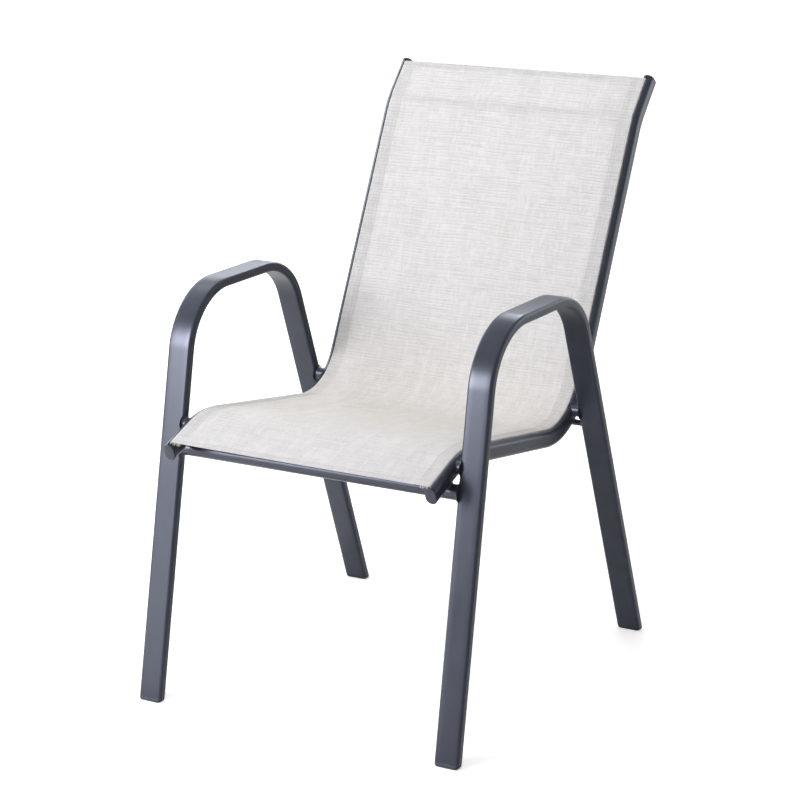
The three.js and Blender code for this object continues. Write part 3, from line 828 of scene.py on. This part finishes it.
# The bars, spacers and their welds
weld = {
    "ripple": 0.07, "ripples": 13,
    "gap": 0.25, "bite": 3.0,
    "bead": (6.0, 6.5, 7.5),    # half axes across, along the rail and up
    "swell": (0.05, 0.04), "sunk": 1.2,
}
bars = {
    # flare is how far the weld runs along the bar and how far it rises off it
    "front": {"names": ("frontCrossbar", "front_crossbar"), "radius": 11.5, "gap": 4.3, "flare": (6.5, 4.6),
              "points": 48},
    "rear": {"names": ("rearCrossRod", "rear_cross_rod"), "radius": 4.75, "gap": 1.0, "flare": (3.4, 2.4),
             "points": 32},
    "spreader": {"radius": 4.75, "fromTop": 75, "flare": (3.0, 2.0), "points": 28},
    "spacer": {"radius": 9.6, "frontRise": 35, "rearRise": 22, "flare": (3.0, 1.6), "legFlare": (4.0, 4.4),
               "points": 40, "phase": 1.3},
    "smooth": 50,
}


def nearestOnRail(spot):
    # The closest point of the rail's centre line, taken on each of its short straight pieces
    a, b = railLine["at"][:-1], railLine["at"][1:]
    run = b - a
    share = np.clip(((spot - a) * run).sum(1) / (run ** 2).sum(1), 0, 1)
    found = a + run * share[:, None]
    return found[np.argmin(np.linalg.norm(found - spot, axis=1))]


def belowRail(leg, radius, gap):
    # Up the leg by whatever is still free, until only the gap is left
    heading, spot = legHeading(leg), leg[0]
    for _ in range(20):
        spot = spot + heading * (np.linalg.norm(nearestOnRail(spot) - spot) - rail["depth"] / 2 - radius - gap)
    return spot


def bulge(off, radius):
    # How far a quarter circle of this radius still stands out at a distance off its middle
    return np.sqrt(np.maximum(0, radius ** 2 - off ** 2))


def legReach(spots, leg):
    # Where a bar ends in the leg's side, at side-view points; past the tube's corner no further than the bite
    heading, radius = legHeading(leg), armLoop["corner"]
    off = np.abs((spots - leg[0]) @ np.array([-heading[1], heading[0]]))
    beyond = np.clip(off - (armLoop["depth"] / 2 - radius), 0, radius)
    edge = armLoop["width"] / 2 - radius + bulge(beyond, radius) + weld["gap"]
    return legMiddle(spots[:, 1]) - np.maximum(edge, armLoop["width"] / 2 - weld["bite"])


def railSide(spots):
    # How far from the rail's middle its surface and gap lie, at side-view points near a straight part of it
    near = nearestOnRail(spots.mean(0))
    row = np.argmin(np.linalg.norm(railLine["at"] - near, axis=1))
    off = np.abs((spots - near) @ railLine["out"][row])
    return bulge(np.clip(off - railArcCentre, 0, railRadius), railRadius) + weld["gap"]


def barGrid(centre, bar, leftReach, rightReach, rightFlare=None):
    # Rings along X round a side-view point, flared into a rippled weld where each end meets its neighbour
    radius, flare = bar["radius"], bar["flare"]
    rightFlare = rightFlare or flare
    angle = np.linspace(0, 2 * math.pi, bar["points"] + 1)[:-1]
    t = np.linspace(0, 1, 8)[:, None]
    bell = 1 - np.sqrt(1 - t ** 2)
    growth = bell * (1 + weld["ripple"] * np.sin(weld["ripples"] * angle + bar.get("phase", 0.0)) * t)
    ring = np.stack([np.cos(angle), np.sin(angle)], 1)
    right = rightReach(centre + ring * (radius + rightFlare[1] * growth[-1])[:, None])
    left = leftReach(centre + ring * (radius + flare[1] * growth[-1])[:, None])
    rightRows = right[None] - rightFlare[0] * (1 - t)
    leftRows = left[None] + flare[0] * (1 - t)
    span = np.linspace(0, 1, 14)[1:-1, None]
    middleRows = leftRows[:1] + (rightRows[:1] - leftRows[:1]) * span
    x = np.concatenate([leftRows[::-1], middleRows, rightRows])
    grow = np.concatenate([flare[1] * growth[::-1], np.zeros((len(span), len(angle))), rightFlare[1] * growth])
    return standing(x, centre + (radius + grow)[..., None] * ring)


def weldBead(x, centre, radius, seed):
    # An egg of weld between a bar's top and the rail above, rippled by two slow sines and cut by the rail
    near = nearestOnRail(centre)
    free = np.linalg.norm(near - centre)
    up = (near - centre) / free
    level = np.array([up[1], -up[0]])
    base = centre + up * (radius - weld["sunk"])
    lon, lat = np.meshgrid(np.linspace(0, 2 * math.pi, 29)[:-1], np.radians(np.linspace(-90, 90, 13)[1:-1]))
    swell = (1 + weld["swell"][0] * np.sin(3 * lon + seed)
             + weld["swell"][1] * np.sin(7 * lon + 2 * seed) * np.cos(lat))
    across = weld["bead"][0] * np.cos(lat) * np.cos(lon) * swell
    run = weld["bead"][1] * np.cos(lat) * np.sin(lon) * swell
    rise = weld["bead"][2] * np.sin(lat)
    limit = free - radius + weld["sunk"] - railArcCentre - bulge(across, railRadius) - weld["gap"]
    rise = np.minimum(rise, np.where(np.abs(across) < railRadius, limit, rise))
    spots = base + level * run[..., None] + up * rise[..., None]
    return standing(x * splayFactor(centre[0]) + across, spots)


def solidGrid(name, grids, cadNode):
    meshPiece(name, "frame", *joined(grids), cadNode, smooth=bars["smooth"])


centres = {end: belowRail(leg, bars[end]["radius"], bars[end]["gap"]) for end, leg in legs}
for end, leg in legs:
    bar, centre = bars[end], centres[end]
    whole = barGrid(centre, bar, lambda spots: -legReach(spots, leg), lambda spots: legReach(spots, leg))
    beads = [weldBead(sign * rail["middle"], centre, bar["radius"], sign) for side, sign in sides]
    name, cadNode = bar["names"]
    solidGrid(name, [whole, *beads], cadNode)

for end, leg in legs:
    base, corner = leg
    height = centres[end][1] + bars["spacer"][f"{end}Rise"]
    spot = base + (corner - base) * (height - base[1]) / (corner[1] - base[1])
    grid = barGrid(spot, bars["spacer"], lambda spots: (rail["middle"] + railSide(spots)) * splayFactor(spots[:, 0]),
                   lambda spots: legReach(spots, leg), bars["spacer"]["legFlare"])
    for side, sign in sides:
        solidGrid(f"{end}{side.capitalize()}Spacer", [grid * (sign, 1, 1)], f"{end}_{side}_spacer")

# the spreader behind the sling, its ends welded between the rails
spreader = bars["spreader"]
row = np.argmin(np.abs(railLine["length"] - (railLine["length"][-1] - spreader["fromTop"])))
spreaderCentre = railLine["at"][row] + railLine["out"][row] * (rail["depth"] / 2 - spreader["radius"] - sling["lift"])
whole = barGrid(spreaderCentre, spreader, lambda spots: railSide(spots) - rail["middle"],
                lambda spots: rail["middle"] - railSide(spots))
solidGrid("backSpreaderRod", [whole], "back_spreader_rod")
print("bars, spacers and welds made")

# Floor, light and background, in metres
studio = {
    "floor": 40.0, "floorDrop": 0.0003,
    "worldSeen": 1.0, "worldLight": 0.19,
    "paper": 0.88,
    "glow": (0.50, 1.0, 1.6, 3.0),    # near the chair, far off, and the distances between which it grows
    "cool": (0.90, 0.97, 1.05),
    "coolLamps": ("left", "above", "backLeft", "back", "backRight", "backHigh", "aboveBack"),
    # lamps: place, what it faces, size, and the radiance that its face shows; surfaces mirror these
    "mirrored": {
        "frontLow": ((-1.36, -1.93, 0.2), (0, -0.2, 0.3), (1.0, 0.4), 5.5),
        "frontMiddle": ((-1.2, -1.95, 0.6), (0, -0.2, 0.4), (1.0, 0.4), 5.7),
        "frontHigh": ((-1.1, -1.97, 1.0), (0, -0.1, 0.5), (0.95, 0.4), 40.2),
        "frontTop": ((-1.08, -1.97, 1.4), (0, -0.1, 0.5), (0.95, 0.4), 35.4),
        "left": ((-2.3, 0.3, 1.5), (-0.2, 0, 0.5), (1.6, 1.2), 6.2),
        "above": ((-1.3, -0.3, 2.3), (-0.2, 0, 0.5), (1.6, 1.2), 0.97),
        "backLeft": ((-1.75, 2.1, 1.6), (-0.2, 0, 0.6), (1.9, 0.9), 2.2),
        "back": ((-0.3, 2.3, 1.2), (0, 0, 0.6), (1.2, 1.2), 5.12),
        "backRight": ((1.6, 1.9, 1.0), (0, 0, 0.5), (1.4, 1.4), 2.4),
        "backHigh": ((-0.6, 1.9, 2.0), (0.2, 0, 0.6), (0.7, 0.7), 7.3),
        "aboveBack": ((-1.4, 0.7, 2.3), (-0.2, -0.2, 0.5), (0.5, 0.5), 3.2),
        "floorFront": ((-0.5, -1.25, 0.004), (-0.5, -1.25, 1), (1.3, 1.4), 2.1),
        "board": ((-0.66, -0.1, 0.004), (-0.66, -0.1, 1), (0.7, 0.9), 0.79),
    },
    # and these light them, without being mirrored
    "lit": {
        "litFront": ((-1.5, -2.3, 2.0), (0, 0, 0.5), (1.6, 1.6), 5.83),
        "litTop": ((0.0, -0.5, 3.0), (0, 0, 0.4), (2.0, 2.0), 2.01),
        "litSide": ((-2.4, 0.2, 1.8), (0, 0, 0.6), (1.6, 1.6), 1.23),
        "litBack": ((-1.2, 2.2, 1.8), (0, 0, 0.5), (1.6, 1.2), 3.7),
    },
}


def seenDirectly(tree):
    # 1 for camera, glossy and transmission rays, else 0
    path = node(tree, "LightPath").outputs
    direct = maths(tree, "MAXIMUM", path["Is Camera Ray"], path["Is Glossy Ray"])
    return maths(tree, "MAXIMUM", direct, path["Is Transmission Ray"])


def worldLight(tree):
    strength = ramp(tree, seenDirectly(tree), studio["worldLight"], studio["worldSeen"], 0, 1)
    return node(tree, "Background", Color=(1, 1, 1, 1), Strength=strength).outputs[0]


def floorPaper(tree):
    # Pale paper that glows where it is seen directly, the more the further off, so that it stays white
    paper = node(tree, "BsdfDiffuse", Color=(*[studio["paper"]] * 3, 1))
    away = node(tree, "VectorMath", {"operation": "LENGTH"}, i0=node(tree, "TexCoord").outputs["Object"])
    level = maths(tree, "MULTIPLY", ramp(tree, away.outputs["Value"], *studio["glow"]), seenDirectly(tree))
    glow = node(tree, "Emission", Color=(1, 1, 1, 1), Strength=level)
    return node(tree, "AddShader", i0=paper.outputs[0], i1=glow.outputs[0]).outputs[0]


scene.world = built(bpy.data.worlds.new("studio"), worldLight)
floorMesh = bpy.data.meshes.new("floor")
floorCorners = [(x * studio["floor"], y * studio["floor"], -studio["floorDrop"])
                for x, y in ((-1, -1), (1, -1), (1, 1), (-1, 1))]
floorMesh.from_pydata(floorCorners, [], [(0, 1, 2, 3)])
floorMesh.materials.append(built(bpy.data.materials.new("studio_floor"), floorPaper))
sheet = bpy.data.objects.new("floor", floorMesh)
scene.collection.objects.link(sheet)

for seen in ("mirrored", "lit"):
    for name, (place, aim, size, radiance) in studio[seen].items():
        data = bpy.data.lights.new(name, "AREA")
        data.shape = "RECTANGLE"
        data.size, data.size_y = size
        data.energy = 4 * radiance * size[0] * size[1]
        data.color = studio["cool"] if name in studio["coolLamps"] else (1, 1, 1)
        lamp = bpy.data.objects.new(name, data)
        lamp.location = place
        lamp.rotation_euler = (Vector(aim) - Vector(place)).to_track_quat("-Z", "Y").to_euler()
        lamp.visible_glossy = seen == "mirrored"
        lamp.visible_diffuse = lamp.visible_transmission = seen == "lit"
        lamp.visible_camera = False
        scene.collection.objects.link(lamp)

scene.view_settings.view_transform = "Standard"
print("studio made")
